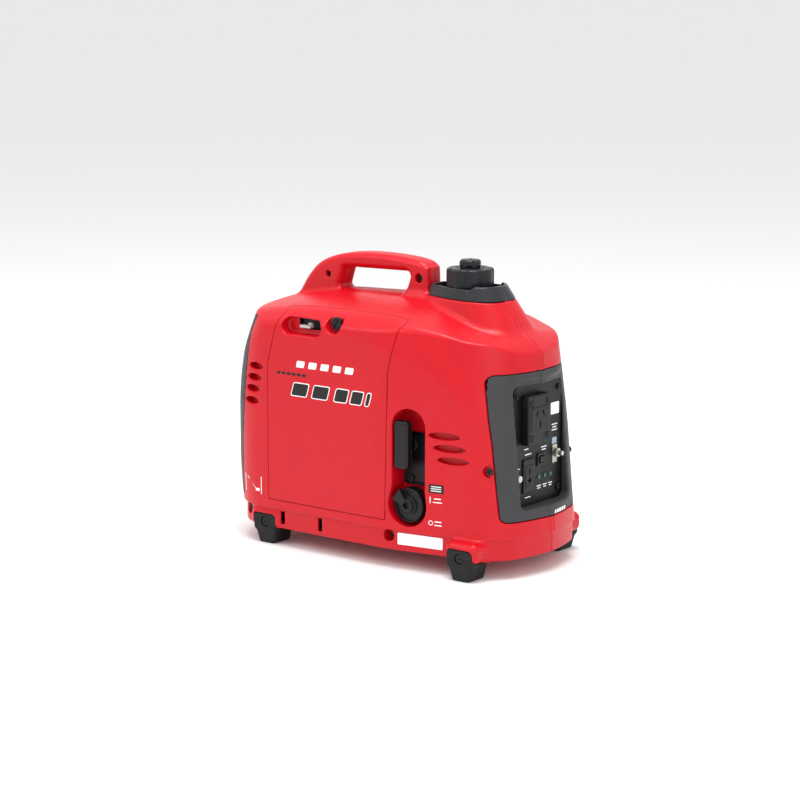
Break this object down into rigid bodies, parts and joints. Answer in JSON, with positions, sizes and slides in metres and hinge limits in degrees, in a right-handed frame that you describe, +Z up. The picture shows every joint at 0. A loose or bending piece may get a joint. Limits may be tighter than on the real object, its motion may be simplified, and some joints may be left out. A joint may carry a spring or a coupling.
{
  "type": "inverter generator",
  "caption": "Suitcase-style inverter generator: moulded shell halves with a carrying handle, pull starter, control panel, filler cap and rubber feet around a small engine set.",
  "frame": {"origin": "on the ground plane, under the centre of the case", "axes": "+X towards the control panel end, -Y towards the maintenance cover and pull starter, +Z up"},
  "size_m": [0.4509, 0.242, 0.382],
  "materials": {
    "red_plastic": "satin moulded polypropylene",
    "dark_plastic": "fine-textured moulded plastic",
    "black_plastic": "satin",
    "light_plastic": "satin",
    "panel_plastic": "fine matt texture",
    "foot_rubber": "matt moulded rubber",
    "hose_rubber": "matt",
    "rope_fibre": "braided nylon",
    "lamp_lens": "clear tinted lens",
    "zinc_steel": "zinc plated",
    "black_steel": "black oxide",
    "cast_aluminium": "as cast",
    "tank_plastic": "blow moulded polyethylene",
    "forged_steel": "machined",
    "exhaust_steel": "heat tinted",
    "filter_foam": "open-cell foam",
    "magnet": "ground",
    "core_steel": "laminated",
    "ceramic": "glazed"
  },
  "bodies": {
    "root": {"ac_outlet": "black_plastic", "air_cleaner_case": "black_plastic", "air_cleaner_cover": "black_plastic", "air_filter": "filter_foam", "base_tray": "black_steel", "carburetor": "cast_aluminium", "case_screws": "black_steel", "control_bezel": "dark_plastic", "control_panel": "panel_plastic", "crankcase": "cast_aluminium", "cylinder": "cast_aluminium", "cylinder_head": "cast_aluminium", "dc_outlet": "black_plastic", "eco_switch_housing": "black_plastic", "exhaust_pipe": "exhaust_steel", "fan_cover": "black_plastic", "filler_collar": "dark_plastic", "foot_bolts": "black_steel", "foot_front_left": "foot_rubber", "foot_front_right": "foot_rubber", "foot_rear_left": "foot_rubber", "foot_rear_right": "foot_rubber", "fuel_cock": "black_plastic", "fuel_hose": "hose_rubber", "fuel_tank": "tank_plastic", "ground_terminal": "zinc_steel", "ignition_coil": "black_plastic", "indicator_lamps": "lamp_lens", "inverter_unit": "cast_aluminium", "left_shell": "red_plastic", "main_bearings": "forged_steel", "muffler": "exhaust_steel", "neck_grommet": "hose_rubber", "plug_cap": "hose_rubber", "rear_cover": "dark_plastic", "recoil_housing": "black_plastic", "right_shell": "red_plastic", "rocker_cover": "cast_aluminium", "rope_guide_plate": "black_plastic", "rubber_mounts": "foot_rubber", "spark_arrester": "zinc_steel", "spark_plug": "ceramic", "stator": "core_steel"},
    "maintenance_cover": {"maintenance_cover": "red_plastic"},
    "cover_screw": {"cover_screw": "black_plastic"},
    "choke_lever": {"choke_lever": "light_plastic"},
    "fuel_cap": {"fuel_cap": "black_plastic"},
    "vent_knob": {"vent_knob": "black_plastic"},
    "starter_grip": {"recoil_grip": "black_plastic", "recoil_rope": "rope_fibre"},
    "starter_reel": {"recoil_reel": "light_plastic"},
    "fuel_valve": {"fuel_valve_knob": "black_plastic"},
    "eco_rocker": {"eco_rocker": "black_plastic"},
    "breaker_button": {"breaker_button": "light_plastic"},
    "engine_rotor": {"crankshaft": "forged_steel", "flywheel_rotor": "forged_steel", "rotor_magnets": "magnet", "cooling_fan": "black_plastic", "starter_cup": "zinc_steel"},
    "dipstick": {"oil_dipstick": "light_plastic"}
  },
  "joints": [
    {"name": "maintenance_cover_pull", "type": "slide", "parent": "root", "child": "maintenance_cover", "axis": [0, -1, 0], "range_m": [0, 0.06]},
    {"name": "cover_screw_turn", "type": "hinge", "parent": "maintenance_cover", "child": "cover_screw", "pos_m": [-0.033, -0.11, 0.301], "axis": [0, -1, 0], "range_deg": [0, 720]},
    {"name": "choke_slide", "type": "slide", "parent": "root", "child": "choke_lever", "axis": [1, 0, 0], "range_m": [0, 0.014]},
    {"name": "fuel_cap_turn", "type": "hinge", "parent": "root", "child": "fuel_cap", "pos_m": [0.093, 0, 0.355], "axis": [0, 0, 1], "range_deg": [0, 270]},
    {"name": "vent_knob_turn", "type": "hinge", "parent": "fuel_cap", "child": "vent_knob", "pos_m": [0.093, 0, 0.37], "axis": [0, 0, 1], "range_deg": [-90, 0]},
    {"name": "starter_pull", "type": "slide", "parent": "root", "child": "starter_grip", "axis": [0, -1, 0], "range_m": [0, 0.5], "stiffness_N_per_m": 10, "springref_m": -0.5, "deforming": ["recoil_rope"]},
    {"name": "starter_reel_spin", "type": "hinge", "parent": "root", "child": "starter_reel", "pos_m": [0.072, 0, 0.127], "axis": [1, 0, 0], "range_deg": [0, 960]},
    {"name": "fuel_valve_turn", "type": "hinge", "parent": "root", "child": "fuel_valve", "pos_m": [0.08, -0.1, 0.083], "axis": [0, -1, 0], "range_deg": [0, 90]},
    {"name": "eco_switch_rock", "type": "hinge", "parent": "root", "child": "eco_rocker", "pos_m": [0.196, 0.00725, 0.138], "axis": [0, 1, 0], "range_deg": [-8, 8]},
    {"name": "breaker_press", "type": "slide", "parent": "root", "child": "breaker_button", "axis": [-1, 0, 0], "range_m": [0, 0.003], "stiffness_N_per_m": 400},
    {"name": "engine_spin", "type": "hinge", "parent": "root", "child": "engine_rotor", "pos_m": [0, 0, 0.127], "axis": [1, 0, 0], "continuous": true},
    {"name": "dipstick_turn", "type": "hinge", "parent": "root", "child": "dipstick", "pos_m": [-0.044, -0.06, 0.078], "axis": [0, -1, 0], "range_deg": [0, 720]}
  ],
  "couplings": [
    {"joint": "starter_reel_spin", "follows": "starter_pull", "rad_per_m": 33.333}
  ]
}
